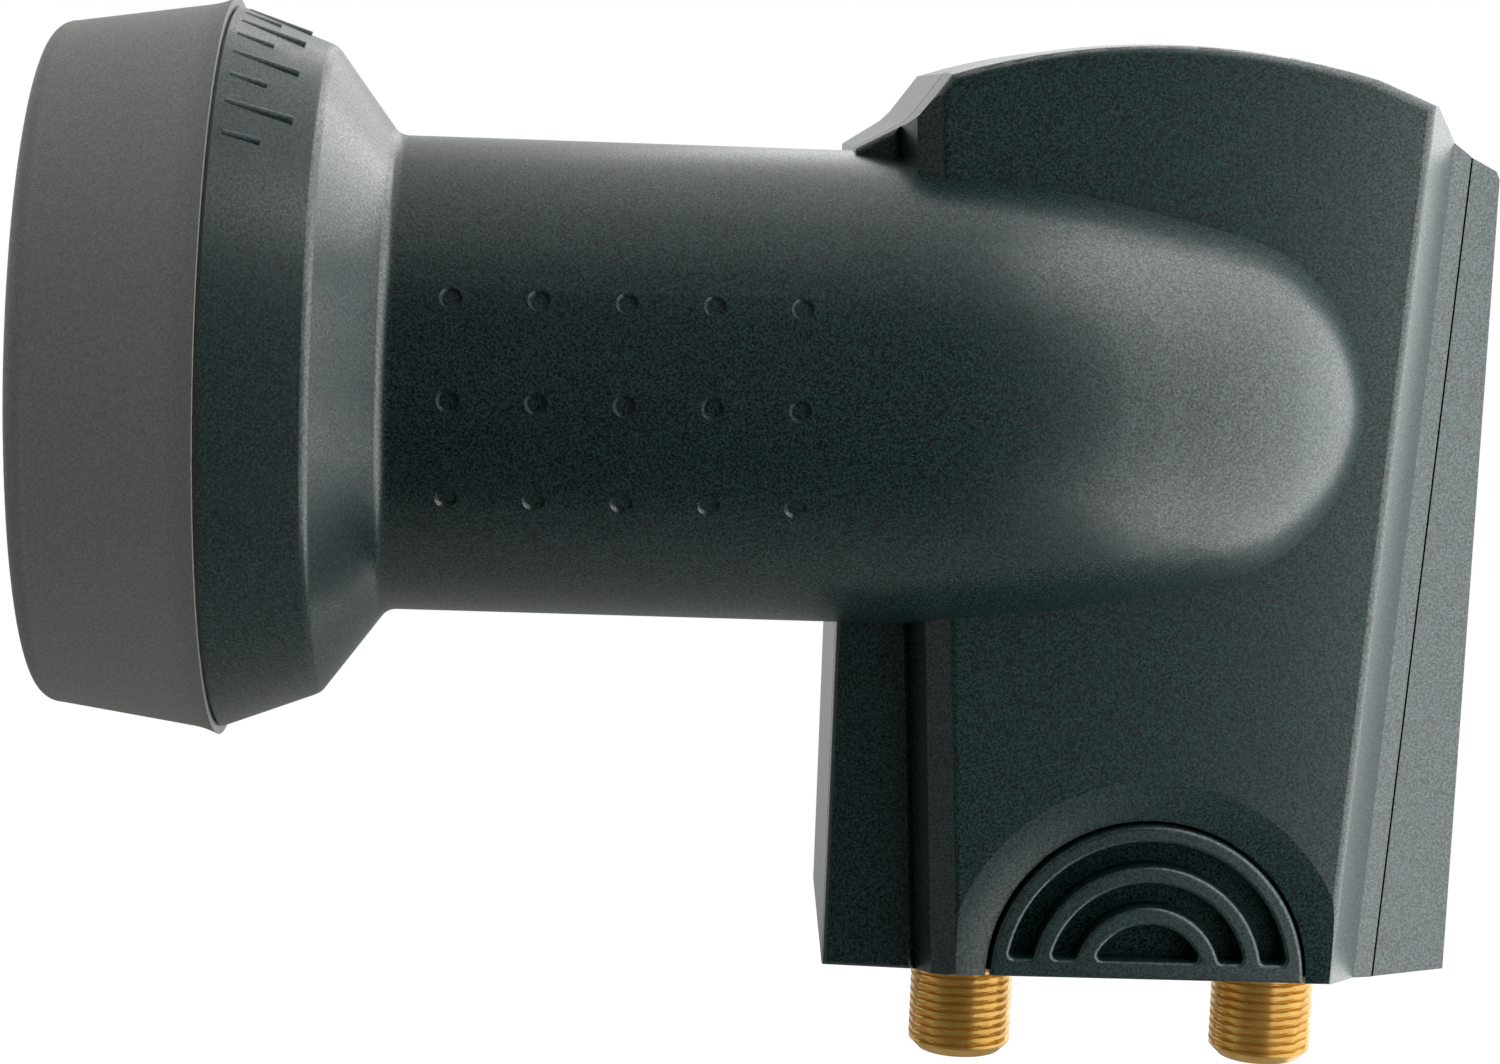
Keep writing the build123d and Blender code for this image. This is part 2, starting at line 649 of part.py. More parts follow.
def make_probe_bent():
    """Bent probe that enters the waveguide from above."""
    x, z = PROBE_B
    rod = y_rod(PROBE_R, 0.0, BOARD_TOP + 0.1, x, z) + probe_head(PROBE_B)
    rod += z_rod(PROBE_R, PROBE_REACH, z, x, 0.0)
    return rod + Pos(x, 0.0, z) * Sphere(PROBE_R)


def make_probe_bush(spot, y0):
    """Insulating bush with a flange on the chamber floor."""
    top = FLOOR_Y + FLOOR_T
    bush = y_rod(BUSH_R - 0.05, y0, top, *spot) + y_rod(BUSH_R + 0.8, top, top + 0.6, *spot)
    return bush - y_rod(PROBE_R + 0.05, y0 - 1.0, top + 2.0, *spot)


def on_board(x0, x1, z0, z1, high):
    """Block part soldered on the board."""
    return box(x0, x1, BOARD_TOP, BOARD_TOP + high, z0, z1)


def make_crystal():
    """Metal-can crystal."""
    can = on_board(*CRYSTAL, CRYSTAL_H)
    return fillet(can.edges().filter_by(Axis.Y), 0.45 * (CRYSTAL[1] - CRYSTAL[0]))


def make_amplifier_transistors():
    """Two low-noise transistors beside the probes."""
    r = TRANSISTOR
    spots = [(PROBE_A[0] + TRANSISTOR_STEP, PROBE_A[1]), (PROBE_B[0] + TRANSISTOR_STEP, PROBE_B[1] - 1.5)]
    return Compound(children=[on_board(x - r, x + r, z - r, z + r, TRANSISTOR_H) for x, z in spots])


def make_barrel(x):
    """F connector barrel: shank, flange and threaded nose with a chamfered end."""
    z0 = CHAMBER[2] - BOSS_H - SEAL_T
    barrel = z_rod(SHANK_R, z0, CHAMBER[2] + CHASSIS_WALL, x, JACK_Y)
    barrel += z_rod(FLANGE_R, z0 - FLANGE_T, z0, x, JACK_Y)
    nose_rod = z_rod(THREAD_R, JACK_END, z0 - FLANGE_T, x, JACK_Y)
    end = nose_rod.edges().filter_by(GeomType.CIRCLE).sort_by(Axis.Z)[0]
    barrel += chamfer(end, END_CHAMFER)
    barrel -= z_rod(JACK_BORE_R, JACK_END + JACK_LIP, CHAMBER[2] + CHASSIS_WALL + 1.0, x, JACK_Y)
    return barrel - z_rod(JACK_MOUTH_R, JACK_END - 1.0, JACK_END + 2.0, x, JACK_Y)


def make_insulator(x):
    """White insulator inside the barrel, with the contact's funnel."""
    z1 = CHAMBER[2] + CHASSIS_WALL
    body = z_rod(JACK_BORE_R, JACK_END + JACK_LIP, z1, x, JACK_Y)
    return body - z_rod(CONTACT_R, JACK_END, z1 + 1.0, x, JACK_Y)


def make_contact(x):
    """Centre contact, from the barrel's mouth to its tail on the board."""
    z1 = CHAMBER[2] + CHASSIS_WALL
    tail = CHAMBER[2] + CHASSIS_WALL + BOARD_GAP + 8.0
    pin = z_rod(CONTACT_R, JACK_END + JACK_LIP + 0.4, z1 + 0.6, x, JACK_Y) + z_rod(PIN_R, z1, tail, x, JACK_Y)
    return pin - z_rod(PIN_R, JACK_END, JACK_END + 8.0, x, JACK_Y)


def make_barrel_seal(x):
    """Flat washer between barrel flange and chassis boss."""
    z1 = CHAMBER[2] - BOSS_H
    ring = z_rod(FLANGE_R, z1 - SEAL_T, z1, x, JACK_Y)
    return ring - z_rod(SHANK_R + SHANK_GAP, z1 - 2, z1 + 1, x, JACK_Y)


def make_shell_screws():
    """Screws that draw the two shells together from the back."""
    screws = []
    for x in SHELL_SCREW_X:
        head_y = SHELL_SCREW_SEAT
        head = y_rod(SCREW_HEAD_R - 0.55, head_y, head_y + 1.4, x, SHELL_SCREW_Z)
        screws.append(head + y_rod(SCREW_R - 0.05, NEAR_Y + 3.0, head_y + 0.1, x, SHELL_SCREW_Z))
    return Compound(children=screws)


def parts():
    """Every node of the part by name."""
    left, right = JACK_X
    return {
        "near_shell": make_near_shell(),
        "far_shell": make_far_shell(),
        "feed_cap": make_feed_cap(),
        "cap_seal": make_cap_seal(),
        "weather_guard": make_weather_guard(),
        "chassis": make_chassis(),
        "chassis_lid": make_chassis_lid(),
        "lid_seal": make_lid_seal(),
        "lid_screws": make_lid_screws(),
        "circuit_board": make_circuit_board(),
        "shield_frame": make_shield_frame(),
        "probe_straight": make_probe_straight(),
        "probe_bent": make_probe_bent(),
        "probe_bush_straight": make_probe_bush(PROBE_A, BORE_R + 0.4),
        "probe_bush_bent": make_probe_bush(PROBE_B, FLOOR_Y),
        "septum_pin": make_septum_pin(),
        "crystal": make_crystal(),
        "converter_chip": on_board(*CHIP, CHIP_H),
        "regulator": on_board(*REGULATOR, REGULATOR_H),
        "amplifier_transistors": make_amplifier_transistors(),
        "barrel_left": make_barrel(left),
        "barrel_right": make_barrel(right),
        "insulator_left": make_insulator(left),
        "insulator_right": make_insulator(right),
        "contact_left": make_contact(left),
        "contact_right": make_contact(right),
        "barrel_seal_left": make_barrel_seal(left),
        "barrel_seal_right": make_barrel_seal(right),
        "shell_screws": make_shell_screws(),
    }


os.makedirs("parts", exist_ok=True)
for name, solid in parts().items():
    export_step(solid, f"parts/{name}.step")
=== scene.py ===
"""Satellite LNB, dressed on its CAD frame: grained plastic shells, gilt threaded connectors, white studio."""
import json
import math

import bmesh
import bpy
from mathutils import Matrix, Vector


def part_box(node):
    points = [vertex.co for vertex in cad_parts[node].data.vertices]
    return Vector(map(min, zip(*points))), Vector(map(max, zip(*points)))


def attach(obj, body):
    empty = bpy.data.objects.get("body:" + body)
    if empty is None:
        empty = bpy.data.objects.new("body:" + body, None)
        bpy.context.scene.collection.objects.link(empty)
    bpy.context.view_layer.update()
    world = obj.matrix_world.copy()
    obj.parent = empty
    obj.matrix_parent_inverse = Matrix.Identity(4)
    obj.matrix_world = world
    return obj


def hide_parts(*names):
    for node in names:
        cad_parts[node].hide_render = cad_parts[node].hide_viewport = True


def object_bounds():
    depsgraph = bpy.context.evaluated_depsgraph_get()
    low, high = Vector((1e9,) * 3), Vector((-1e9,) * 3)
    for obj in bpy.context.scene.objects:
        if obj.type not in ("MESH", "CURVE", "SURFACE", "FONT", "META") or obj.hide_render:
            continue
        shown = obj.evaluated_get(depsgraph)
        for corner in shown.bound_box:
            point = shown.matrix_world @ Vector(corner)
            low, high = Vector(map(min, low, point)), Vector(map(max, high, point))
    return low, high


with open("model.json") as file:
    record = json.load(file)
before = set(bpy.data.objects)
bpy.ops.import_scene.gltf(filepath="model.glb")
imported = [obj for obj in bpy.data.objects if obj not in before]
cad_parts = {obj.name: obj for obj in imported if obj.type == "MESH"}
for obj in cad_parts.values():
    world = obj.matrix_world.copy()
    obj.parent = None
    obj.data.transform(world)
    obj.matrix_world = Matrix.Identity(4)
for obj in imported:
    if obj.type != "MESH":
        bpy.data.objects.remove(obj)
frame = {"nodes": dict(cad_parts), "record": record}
CAD_LOW, CAD_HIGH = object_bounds()
NODES = frame["nodes"]
MM = 0.001

# Camera, fitted to the photograph's edges: angles in degrees, lens and sensor in millimetres
CAMERA_AT = (-1.7 * MM, -311.5 * MM, 33.1 * MM)
CAMERA_YAW = 2.475
CAMERA_PITCH = -8.361
CAMERA_ROLL = 2.086
CAMERA_LENS = 88.5
CAMERA_SENSOR = 36.0
CAMERA_NEAR = 0.01

# F connector barrel
BARREL_SIDES = 72
MOUTH_R = 2.4 * MM
MOUTH_DEEP = 1.2 * MM
BORE_R = 3.3 * MM
SHANK_R = 4.0 * MM
SHANK_LENGTH = 4.7 * MM
FLANGE_R = 5.6 * MM
FLANGE_EDGE = 0.25 * MM
FLANGE_T = 2.0 * MM
END_CHAMFER = 0.9 * MM

# Its thread, with a flank's and the crest's share of the pitch, and the rows of points in a pitch
THREAD_R = 4.7 * MM
THREAD_PITCH = 0.794 * MM
THREAD_DEPTH = 0.30 * MM
THREAD_FLANK = 0.17
THREAD_CREST = 0.54
THREAD_STEPS = 10

# Shading: the angle in degrees over which an edge is sharp, and the pull of large faces on normals
SHARP_ANGLE = 42.0
FACE_WEIGHT = 80

# Noise: its turn, so that no flat face lies along its grid, and the middle range of its values
NOISE_TURN = (0.5, 0.8, 0.3)
NOISE_LOW = 0.3
NOISE_HIGH = 0.7

# Moulded finishes: dark and light specks, roughness, specks per metre, bump and broken sheen
SHELL_DARK = 0.001
SHELL_LIGHT = 0.034
SHELL_ROUGH = 0.30
SHELL_SCALE = 5500.0
SHELL_GRAIN = 0.05
SHELL_SHEEN = 0.14
GUARD_ROUGH = 0.34
CAP_DARK = 0.142
CAP_LIGHT = 0.178
CAP_ROUGH = 0.50
CAP_SCALE = 5000.0
CAP_GRAIN = 0.10
CAP_SHEEN = 0.10
PLAIN_SHEEN = 0.05

# Grain of every moulded finish: noise detail and roughness, and where its specks turn from dark to light
SPECK_NOISE = (3.0, 0.6)
FINE_LOW = 0.42
FINE_HIGH = 0.60
BROAD_LOW = 0.38
BROAD_HIGH = 0.63
BROAD_DARK = 0.88
CLOUD_NOISE = (45.0, 3.0)
PLASTIC_SWING = 0.07
PLASTIC_GLOSS = 0.5
PLASTIC_IOR = 1.5
SPECK_HEIGHT = 0.3

# Painted shade in the grip's pockets: where along Y it starts and where it is full, and the share of colour
# and gloss left there
POCKET_SHALLOW = -7.5 * MM
POCKET_DEEP = -6.3 * MM
POCKET_SHADE_COLOR = 0.8
POCKET_SHADE_GLOSS = 0.1

# Painted shadow of the gap beside the near half's right edge, which leans out by SEAM_LEAN of its height, and
# its soft borders
SEAM_X = 70.5 * MM
SEAM_LEAN = 0.059
SEAM_WIDE = 0.28 * MM
SEAM_DEEP = 0.5 * MM
SEAM_CORE = 0.35
SEAM_FADE = 0.8

# Gilt: patches of tarnish, roughness from tarnished to clean, share of metal, and fine bump
GILT_NOISE = (420.0, 4.0, 0.65)
GILT_STOPS = [(0.30, (0.60, 0.33, 0.065, 1.0)), (0.55, (0.71, 0.42, 0.100, 1.0)),
              (0.75, (0.78, 0.49, 0.140, 1.0))]
GILT_DULL = 0.30
GILT_CLEAN = 0.18
GILT_METAL = 0.6
GILT_BUMP_SCALE = 3000.0
GILT_BUMP = 0.08
GILT_BUMP_HIGH = 0.05 * MM

# Plain metals: patches, swing of roughness, and scratches this much finer than the patches
METAL_NOISE = (4.0, 0.6)
METAL_SWING = 0.08
SCRATCH_FINER = 6.0
SCRATCH_BUMP = 0.15
SCRATCH_HIGH = 0.06 * MM

# Board
WEAVE_SCALE = 900.0
WEAVE_STOPS = [(0.35, (0.010, 0.075, 0.030, 1.0)), (0.65, (0.020, 0.120, 0.048, 1.0))]
WEAVE_BUMP = 0.1
WEAVE_HIGH = 0.05 * MM
BOARD_ROUGH = 0.35

# Tints
TEAL = (0.34, 1.0, 0.96)
WARM = (0.95, 1.0, 0.91)
WHITE = (1.0, 1.0, 1.0, 1.0)

# Room: directions over which it fades from dark to white, its darkest levels, and its diffuse light
ROOM_DARK_Y = -0.80
ROOM_WHITE_Y = -0.05
ROOM_DARK = 0.10
ROOM_LOW_Z = -0.45
ROOM_HIGH_Z = 0.05
ROOM_LOW = 0.40
ROOM_AMBIENT = 0.38

# Floor, and its glow to the camera and in gloss
FLOOR_DROP = 0.22
FLOOR_WIDE = 6.0
FLOOR_FRONT = -0.08
FLOOR_BACK = 0.9
FLOOR_COLOR = (0.45, 0.45, 0.45, 1.0)
FLOOR_ROUGH = 0.9
FLOOR_GLOW = 0.85
FLOOR_MIRROR_GLOW = 0.10

# Wall of light on the right: front, back and level of each part, and of the part for the barrels alone
RIGHT_X = 0.090
RIGHT_Z = 0.046
RIGHT_HIGH = 0.308
RIGHT_PARTS = [(-0.125, -0.100, 1.3), (-0.100, -0.075, 2.8), (-0.075, 0.0, 4.1), (0.0, 0.05, 2.2),
               (0.05, 0.15, 3.5)]
BARREL_PART = (-0.105, 0.15, 1.2)
LEFTWARD = (-1.0, 0.0, 0.0)

# Panels at the rear, facing the origin, and overhead
REAR_AT = (0.15, 0.38, 0.22)
REAR_SIZE = (0.30, 0.24)
REAR_LEVEL = 1.4
TOP_AT = (0.15, 0.17, 0.30)
TOP_SIZE = (0.34, 0.32)
TOP_LEVEL = 0.5
DOWNWARD = (0.0, 0.0, -1.0)


def new_material(name):
    """Empty node material with its principled shader."""
    material = bpy.data.materials.new(name)
    material.use_nodes = True
    shader = material.node_tree.nodes["Principled BSDF"]
    return material, material.node_tree, shader


def feed(tree, socket, value):
    """Gives a socket a number, or links an output to it."""
    if isinstance(value, float):
        socket.default_value = value
    else:
        tree.links.new(value, socket)


def noise(tree, scale, detail=2.0, rough=0.5):
    """Noise over object coordinates, in features per metre."""
    place = tree.nodes.new("ShaderNodeTexCoord")
    turn = tree.nodes.new("ShaderNodeMapping")
    turn.inputs["Rotation"].default_value = NOISE_TURN
    node = tree.nodes.new("ShaderNodeTexNoise")
    node.inputs["Scale"].default_value = scale
    node.inputs["Detail"].default_value = detail
    node.inputs["Roughness"].default_value = rough
    tree.links.new(place.outputs["Object"], turn.inputs["Vector"])
    tree.links.new(turn.outputs["Vector"], node.inputs["Vector"])
    return node.outputs["Fac"]


def axes(tree, kind):
    """X, Y and Z outputs of one kind of coordinates."""
    place = tree.nodes.new("ShaderNodeTexCoord")
    way = tree.nodes.new("ShaderNodeSeparateXYZ")
    tree.links.new(place.outputs[kind], way.inputs["Vector"])
    return way.outputs["X"], way.outputs["Y"], way.outputs["Z"]


def ramp(tree, value, stops):
    """Colour ramp over (position, colour) stops."""
    node = tree.nodes.new("ShaderNodeValToRGB")
    bar = node.color_ramp.elements
    bar[0].position, bar[0].color = stops[0]
    bar[1].position, bar[1].color = stops[-1]
    for position, color in stops[1:-1]:
        bar.new(position).color = color
    tree.links.new(value, node.inputs["Fac"])
    return node.outputs["Color"]


def map_range(tree, value, start, end, low, high):
    """Value mapped from start..end to low..high, with its node."""
    node = tree.nodes.new("ShaderNodeMapRange")
    for name, number in (("From Min", start), ("From Max", end), ("To Min", low), ("To Max", high)):
        node.inputs[name].default_value = number
    tree.links.new(value, node.inputs["Value"])
    return node.outputs["Result"], node


def spread(tree, value, low, high):
    """Value mapped from noise's middle range to low..high."""
    return map_range(tree, value, NOISE_LOW, NOISE_HIGH, low, high)[0]


def fade(tree, value, start, end, low, high):
    """Smooth step of a value from low at start to high at end."""
    result, node = map_range(tree, value, start, end, low, high)
    node.interpolation_type = "SMOOTHSTEP"
    return result


def mix(tree, fac, first, second, kind):
    """First value or colour where the factor is 0, second where it is 1; kind is FLOAT or RGBA."""
    node = tree.nodes.new("ShaderNodeMix")
    node.data_type = kind
    tree.links.new(fac, node.inputs["Factor"])
    feed(tree, node.inputs["A"], first)
    feed(tree, node.inputs["B"], second)
    return node.outputs["Result"]


def math_node(tree, operation, first, second):
    """Result of a two-value operation on an output and an output or number."""
    node = tree.nodes.new("ShaderNodeMath")
    node.operation = operation
    tree.links.new(first, node.inputs[0])
    feed(tree, node.inputs[1], second)
    return node.outputs["Value"]


def bump(tree, shader, height, strength, distance):
    """Bump on a shader from a height value."""
    node = tree.nodes.new("ShaderNodeBump")
    node.inputs["Strength"].default_value = strength
    node.inputs["Distance"].default_value = distance
    tree.links.new(height, node.inputs["Height"])
    tree.links.new(node.outputs["Normal"], shader.inputs["Normal"])


def grey(level, tint=(1.0, 1.0, 1.0)):
    """Opaque colour from a level and a tint."""
    return (level * tint[0], level * tint[1], level * tint[2], 1.0)


def grained_plastic(name, dark, light, roughness, scale, grain, sheen=PLAIN_SHEEN):
    """Moulded plastic with spark-eroded grain: speckled colour, broken gloss and fine bump."""
    material, tree, shader = new_material(name)
    speck = noise(tree, scale, *SPECK_NOISE)
    cloud = noise(tree, *CLOUD_NOISE)
    darker = tuple(level * BROAD_DARK for level in dark[:3]) + (1.0,)
    fine = ramp(tree, speck, [(FINE_LOW, dark), (FINE_HIGH, light)])
    broad = ramp(tree, speck, [(BROAD_LOW, darker), (BROAD_HIGH, light)])
    dullness = spread(tree, speck, roughness + PLASTIC_SWING, roughness - PLASTIC_SWING)
    gloss = spread(tree, speck, PLASTIC_GLOSS - sheen, PLASTIC_GLOSS + sheen)
    tree.links.new(mix(tree, cloud, fine, broad, "RGBA"), shader.inputs["Base Color"])
    tree.links.new(dullness, shader.inputs["Roughness"])
    tree.links.new(gloss, shader.inputs["Specular IOR Level"])
    shader.inputs["IOR"].default_value = PLASTIC_IOR
    bump(tree, shader, speck, grain, SPECK_HEIGHT / scale)
    return material


def shade_finish(material, color_level, gloss_level):
    """Paints shade into a grained finish by scaling its colour and gloss by two values."""
    tree = material.node_tree
    shader = tree.nodes["Principled BSDF"]
    color = shader.inputs["Base Color"].links[0].from_socket
    gloss = shader.inputs["Specular IOR Level"].links[0].from_socket
    scale = tree.nodes.new("ShaderNodeVectorMath")
    scale.operation = "SCALE"
    tree.links.new(color, scale.inputs[0])
    tree.links.new(color_level, scale.inputs["Scale"])
    tree.links.new(scale.outputs["Vector"], shader.inputs["Base Color"])
    tree.links.new(math_node(tree, "MULTIPLY", gloss, gloss_level), shader.inputs["Specular IOR Level"])


def paint_pocket_shade(material):
    """Paints shade into a finish from one depth to another behind the near face: darker colour and less gloss
    where ridges shade deep pockets.
    """
    tree = material.node_tree
    depth = axes(tree, "Object")[1]
    color = fade(tree, depth, POCKET_SHALLOW, POCKET_DEEP, 1.0, POCKET_SHADE_COLOR)
    gloss = fade(tree, depth, POCKET_SHALLOW, POCKET_DEEP, 1.0, POCKET_SHADE_GLOSS)
    shade_finish(material, color, gloss)


def paint_seam_shadow(material):
    """Paints the gap's shadow as a dark line of colour and gloss on the far half's front strip, beside the
    near half's leaning right edge.
    """
    tree = material.node_tree
    x, y, z = axes(tree, "Object")
    off = math_node(tree, "SUBTRACT", x, SEAM_X + SEAM_WIDE / 2)
    off = math_node(tree, "SUBTRACT", off, math_node(tree, "MULTIPLY", z, SEAM_LEAN))
    off = math_node(tree, "ABSOLUTE", off, 0.0)
    beside = fade(tree, off, SEAM_WIDE * SEAM_CORE, SEAM_WIDE / 2, 0.0, 1.0)
    behind = fade(tree, y, SEAM_DEEP * SEAM_FADE, SEAM_DEEP, 0.0, 1.0)
    shade = math_node(tree, "MAXIMUM", beside, behind)
    shade_finish(material, shade, shade)


def gilt(name):
    """Gold-plated brass, a little tarnished in patches."""
    material, tree, shader = new_material(name)
    patch = noise(tree, *GILT_NOISE)
    tree.links.new(ramp(tree, patch, GILT_STOPS), shader.inputs["Base Color"])
    tree.links.new(spread(tree, patch, GILT_DULL, GILT_CLEAN), shader.inputs["Roughness"])
    shader.inputs["Metallic"].default_value = GILT_METAL
    bump(tree, shader, noise(tree, GILT_BUMP_SCALE), GILT_BUMP, GILT_BUMP_HIGH)
    return material


def metal(name, dark, light, roughness, scale):
    """Plain metal with light patches and fine scratches."""
    material, tree, shader = new_material(name)
    patch = noise(tree, scale, *METAL_NOISE)
    dullness = spread(tree, patch, roughness + METAL_SWING, roughness - METAL_SWING)
    tree.links.new(ramp(tree, patch, [(NOISE_LOW, dark), (NOISE_HIGH, light)]), shader.inputs["Base Color"])
    tree.links.new(dullness, shader.inputs["Roughness"])
    shader.inputs["Metallic"].default_value = 1.0
    bump(tree, shader, noise(tree, scale * SCRATCH_FINER), SCRATCH_BUMP, SCRATCH_HIGH)
    return material


def laminate(name):
    """Green solder mask over a board's copper."""
    material, tree, shader = new_material(name)
    weave = noise(tree, WEAVE_SCALE)
    tree.links.new(ramp(tree, weave, WEAVE_STOPS), shader.inputs["Base Color"])
    shader.inputs["Roughness"].default_value = BOARD_ROUGH
    bump(tree, shader, weave, WEAVE_BUMP, WEAVE_HIGH)
    return material


# Dark and light specks, roughness, specks per metre, bump and, where it isn't plain, sheen
PLASTICS = {
    "shell_plastic": (grey(SHELL_DARK, TEAL), grey(SHELL_LIGHT, TEAL), SHELL_ROUGH, SHELL_SCALE,
                      SHELL_GRAIN, SHELL_SHEEN),
    "guard_plastic": (grey(SHELL_DARK, TEAL), grey(SHELL_LIGHT, TEAL), GUARD_ROUGH, SHELL_SCALE,
                      SHELL_GRAIN, SHELL_SHEEN),
    "cap_plastic": (grey(CAP_DARK, WARM), grey(CAP_LIGHT, WARM), CAP_ROUGH, CAP_SCALE, CAP_GRAIN, CAP_SHEEN),
    "seal_rubber": (grey(0.012), grey(0.020), 0.60, 1500.0, 0.15),
    "insulator_plastic": (grey(0.62), grey(0.72, WARM), 0.40, 900.0, 0.05),
    "chip_plastic": (grey(0.014), grey(0.024), 0.50, 2500.0, 0.20),
}

# Dark and light patches, roughness and patches per metre
METALS = {
    "probe_brass": ((0.55, 0.36, 0.12, 1.0), (0.75, 0.54, 0.22, 1.0), 0.28, 500.0),
    "cast_alloy": (grey(0.40), grey(0.55), 0.48, 300.0),
    "lid_alloy": (grey(0.50), grey(0.62), 0.36, 250.0),
    "screw_steel": (grey(0.42), grey(0.58), 0.32, 700.0),
    "shield_tin": (grey(0.52), grey(0.66), 0.30, 350.0),
}


def make_finishes():
    """Material of every slot in the record."""
    finishes = {name: grained_plastic(name, *row) for name, row in PLASTICS.items()}
    finishes.update({name: metal(name, *row) for name, row in METALS.items()})
    finishes["board_laminate"] = laminate("board_laminate")
    finishes["gilt_brass"] = gilt("gilt_brass")
    # Painted shade: the guard's deep pockets get darker colour and less gloss by depth
    paint_pocket_shade(finishes["guard_plastic"])
    # Painted shadow: a dark line of colour and gloss along the gap on the shell's right front strip
    paint_seam_shadow(finishes["shell_plastic"])
    return finishes


FINISHES = make_finishes()


def dress_nodes():
    """Gives every CAD node the finish of its record slot."""
    for entry in frame["record"]["subparts"]:
        node = NODES[entry["node"]]
        node.data.materials.clear()
        node.data.materials.append(FINISHES[entry["material_slot"]])


def flatten_faces(names):
    """Weighs shading normals by face area, so that flat faces stay flat beside their blends."""
    for name in names:
        weigh = NODES[name].modifiers.new("even_normals", "WEIGHTED_NORMAL")
        weigh.mode = "FACE_AREA"
        weigh.weight = FACE_WEIGHT
        weigh.keep_sharp = True


def mesh_object(name, mesh):
    """New object in the scene from a bmesh."""
    data = bpy.data.meshes.new(name)
    mesh.to_mesh(data)
    mesh.free()
    made = bpy.data.objects.new(name, data)
    bpy.context.scene.collection.objects.link(made)
    return made


def add_piece(name, mesh, finish):
    """New smooth piece from a bmesh, with its finish."""
    piece = mesh_object(name, mesh)
    piece.data.materials.append(FINISHES[finish])
    piece.data.shade_smooth()
    piece.data.set_sharp_from_angle(angle=math.radians(SHARP_ANGLE))
    return piece


def thread_height(turn):
    """Thread profile over one pitch: 0 at the root, 1 at the flat crest."""
    phase = turn % 1.0
    if phase < THREAD_FLANK:
        return phase / THREAD_FLANK
    if phase < THREAD_FLANK + THREAD_CREST:
        return 1.0
    if phase < 2 * THREAD_FLANK + THREAD_CREST:
        return 1.0 - (phase - THREAD_FLANK - THREAD_CREST) / THREAD_FLANK
    return 0.0


def barrel_profile(low, high):
    """Rows (z, r, threaded) of the barrel, up its outside from the mouth and down its bore."""
    shoulder = high - SHANK_LENGTH
    flange = shoulder - FLANGE_T
    rows = [(low + MOUTH_DEEP, MOUTH_R, False), (low, MOUTH_R, False), (low, THREAD_R - END_CHAMFER, False)]
    steps = int((flange - low) / THREAD_PITCH * THREAD_STEPS)
    for i in range(steps + 1):
        z = low + (flange - low) * i / steps
        rows.append((z, THREAD_R, True))
    rows += [(flange, FLANGE_R - FLANGE_EDGE, False), (flange + FLANGE_EDGE, FLANGE_R, False),
             (shoulder - FLANGE_EDGE, FLANGE_R, False), (shoulder, FLANGE_R - FLANGE_EDGE, False),
             (shoulder, SHANK_R, False), (high, SHANK_R, False), (high, BORE_R, False),
             (low + MOUTH_DEEP, BORE_R, False)]
    return rows


def row_radius(z, r, threaded, low, angle):
    """Radius of a barrel row at an angle, with the thread and the end chamfer cut into it."""
    if not threaded:
        return r
    turn = (z - low) / THREAD_PITCH - angle / (2 * math.pi)
    cut = r - THREAD_DEPTH * (1.0 - thread_height(turn))
    return min(cut, THREAD_R - END_CHAMFER + (z - low))


def threaded_barrel(node):
    """Connector barrel with its real thread, in place of the plain CAD barrel."""
    low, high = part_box(node)
    center = (low + high) / 2
    mesh = bmesh.new()
    rings = []
    for z, r, threaded in barrel_profile(low.z, high.z):
        ring = []
        for i in range(BARREL_SIDES):
            angle = 2 * math.pi * i / BARREL_SIDES
            radius = row_radius(z, r, threaded, low.z, angle)
            spot = (center.x + radius * math.cos(angle), center.y + radius * math.sin(angle), z)
            ring.append(mesh.verts.new(spot))
        rings.append(ring)
    for lower, upper in zip(rings, rings[1:] + rings[:1]):
        for i in range(BARREL_SIDES):
            j = (i + 1) % BARREL_SIDES
            mesh.faces.new((lower[i], lower[j], upper[j], upper[i]))
    bmesh.ops.recalc_face_normals(mesh, faces=mesh.faces)
    piece = add_piece(node + "_thread", mesh, "gilt_brass")
    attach(piece, "housing")
    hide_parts(node)
    return piece


def add_camera():
    """Camera at the photograph's viewpoint."""
    data = bpy.data.cameras.new("camera")
    data.lens = CAMERA_LENS
    data.sensor_width = CAMERA_SENSOR
    data.clip_start = CAMERA_NEAR
    camera = bpy.data.objects.new("camera", data)
    turn = Matrix.Rotation(math.radians(-CAMERA_YAW), 4, "Z")
    tip = Matrix.Rotation(math.radians(90.0 + CAMERA_PITCH), 4, "X")
    lean = Matrix.Rotation(math.radians(CAMERA_ROLL), 4, "Z")
    camera.matrix_world = Matrix.Translation(CAMERA_AT) @ turn @ tip @ lean
    bpy.context.scene.collection.objects.link(camera)
    bpy.context.scene.camera = camera


def ray_levels(tree, camera, mirror, rest):
    """Level by kind of ray: seen by the camera, seen in gloss or glass, or gathered as diffuse light."""
    path = tree.nodes.new("ShaderNodeLightPath")
    sharp = math_node(tree, "MAXIMUM", path.outputs["Is Glossy Ray"], path.outputs["Is Transmission Ray"])
    level = mix(tree, sharp, rest, mirror, "FLOAT")
    return mix(tree, path.outputs["Is Camera Ray"], level, camera, "FLOAT")


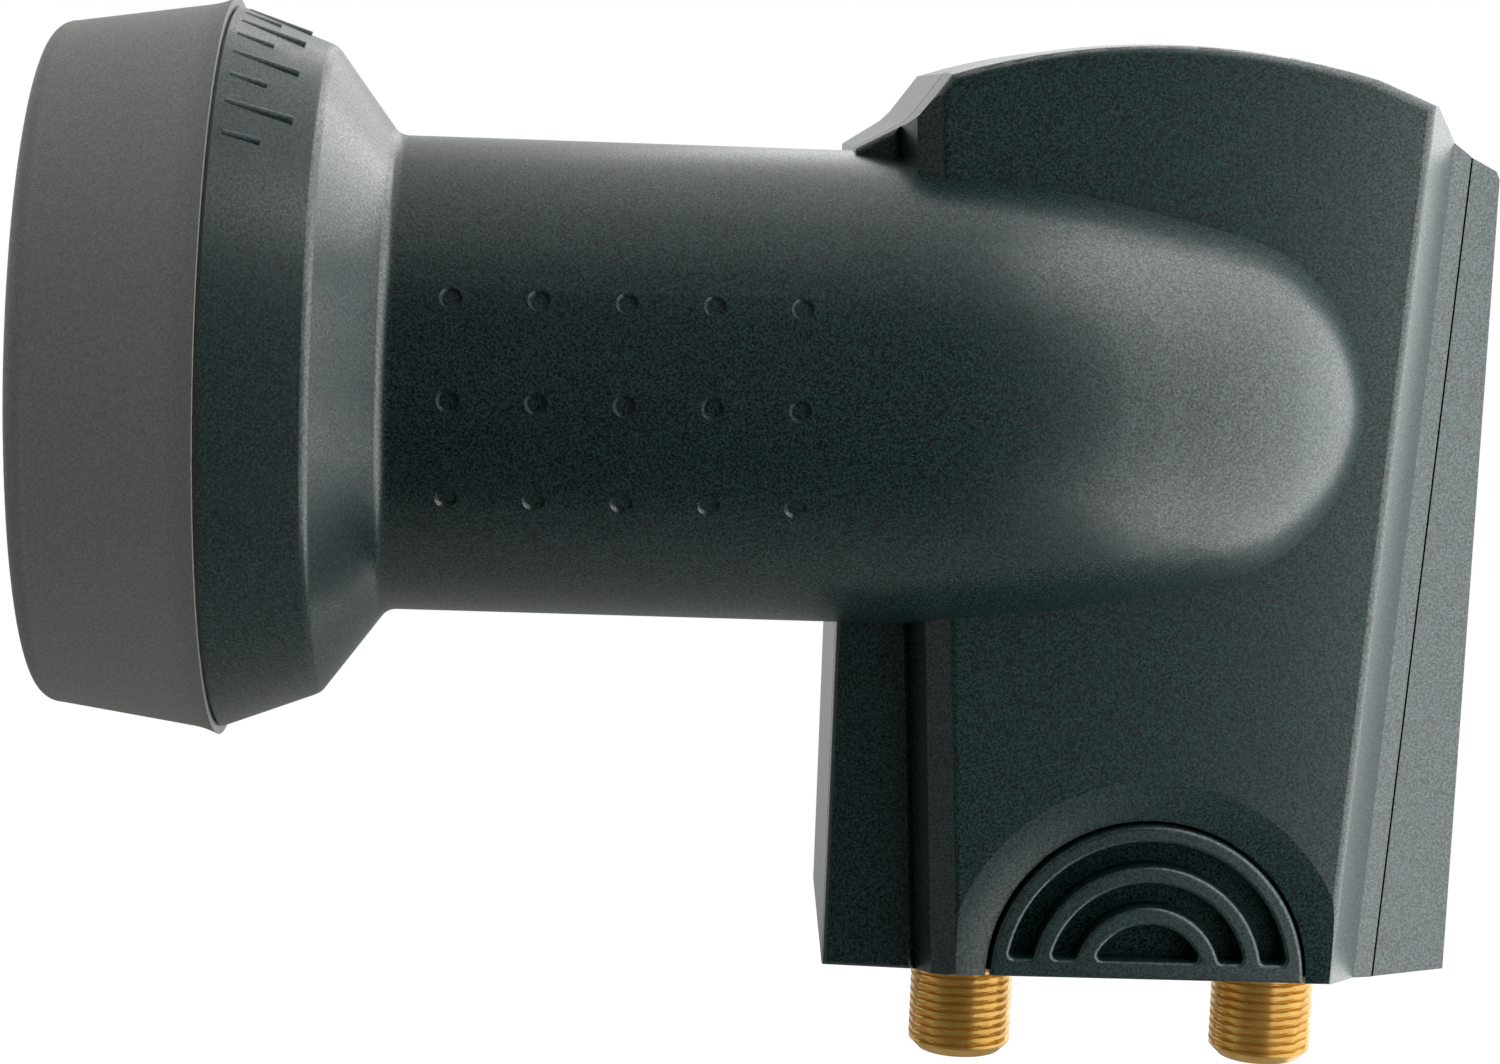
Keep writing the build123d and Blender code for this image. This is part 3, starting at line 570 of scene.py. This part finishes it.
def add_floor():
    """Pale table below the hanging object, with its front edge under the object."""
    z = CAD_LOW.z - FLOOR_DROP
    side = FLOOR_WIDE / 2
    corners = [(-side, FLOOR_FRONT), (side, FLOOR_FRONT), (side, FLOOR_BACK), (-side, FLOOR_BACK)]
    mesh = bmesh.new()
    mesh.faces.new([mesh.verts.new((x, y, z)) for x, y in corners])
    floor = mesh_object("floor", mesh)
    material, tree, shader = new_material("floor_white")
    shader.inputs["Base Color"].default_value = FLOOR_COLOR
    shader.inputs["Roughness"].default_value = FLOOR_ROUGH
    shader.inputs["Emission Color"].default_value = WHITE
    glow = ray_levels(tree, FLOOR_GLOW, FLOOR_MIRROR_GLOW, 0.0)
    tree.links.new(glow, shader.inputs["Emission Strength"])
    floor.data.materials.append(material)


def add_world():
    """White surroundings behind and above the object, fading to a dark room on the camera's side."""
    world = bpy.data.worlds.new("studio")
    world.use_nodes = True
    tree = world.node_tree
    sky = tree.nodes["Background"]
    sky.inputs["Color"].default_value = WHITE
    y, z = axes(tree, "Generated")[1:]
    behind = fade(tree, y, ROOM_DARK_Y, ROOM_WHITE_Y, ROOM_DARK, 1.0)
    above = fade(tree, z, ROOM_LOW_Z, ROOM_HIGH_Z, ROOM_LOW, 1.0)
    room = math_node(tree, "MULTIPLY", behind, above)
    tree.links.new(ray_levels(tree, 1.0, room, ROOM_AMBIENT), sky.inputs["Strength"])
    bpy.context.scene.world = world


def add_panel(name, at, facing, size, radiance):
    """Soft white panel lamp, given by its middle, the way it faces, its width and height, and its level."""
    data = bpy.data.lights.new(name, "AREA")
    data.shape = "RECTANGLE"
    data.size, data.size_y = size
    data.energy = radiance * math.pi * size[0] * size[1]
    lamp = bpy.data.objects.new(name, data)
    lamp.location = at
    lamp.rotation_euler = Vector(facing).to_track_quat("-Z", "Y").to_euler()
    lamp.visible_camera = False
    bpy.context.scene.collection.objects.link(lamp)
    return lamp


def link_lamp(lamp, pieces, state):
    """Keeps a lamp's light off some pieces (EXCLUDE) or on them alone (INCLUDE)."""
    linked = bpy.data.collections.new(lamp.name + "_pieces")
    for piece in pieces:
        linked.objects.link(piece)
    for entry in linked.collection_objects:
        entry.light_linking.link_state = state
    lamp.light_linking.receiver_collection = linked


def add_right_part(name, front, back, level):
    """Part of the wall of light on the right, between two depths."""
    at = (RIGHT_X, (front + back) / 2, RIGHT_Z)
    return add_panel(name, at, LEFTWARD, (back - front, RIGHT_HIGH), level)


def add_right_wall(barrels):
    """Wall of light on the right, strong on the plastic and weak on the bright barrels."""
    for i, part in enumerate(RIGHT_PARTS):
        link_lamp(add_right_part(f"panel_right_{i}", *part), barrels, "EXCLUDE")
    link_lamp(add_right_part("panel_barrels", *BARREL_PART), barrels, "INCLUDE")


def add_studio(barrels):
    """Camera, floor, surroundings and lamps."""
    add_camera()
    add_floor()
    add_world()
    add_right_wall(barrels)
    add_panel("panel_rear", REAR_AT, -Vector(REAR_AT), REAR_SIZE, REAR_LEVEL)
    add_panel("panel_top", TOP_AT, DOWNWARD, TOP_SIZE, TOP_LEVEL)
    bpy.context.scene.view_settings.view_transform = "Standard"


dress_nodes()
flatten_faces(("near_shell", "far_shell"))
barrels = [threaded_barrel(node) for node in ("barrel_left", "barrel_right")]
add_studio(barrels)
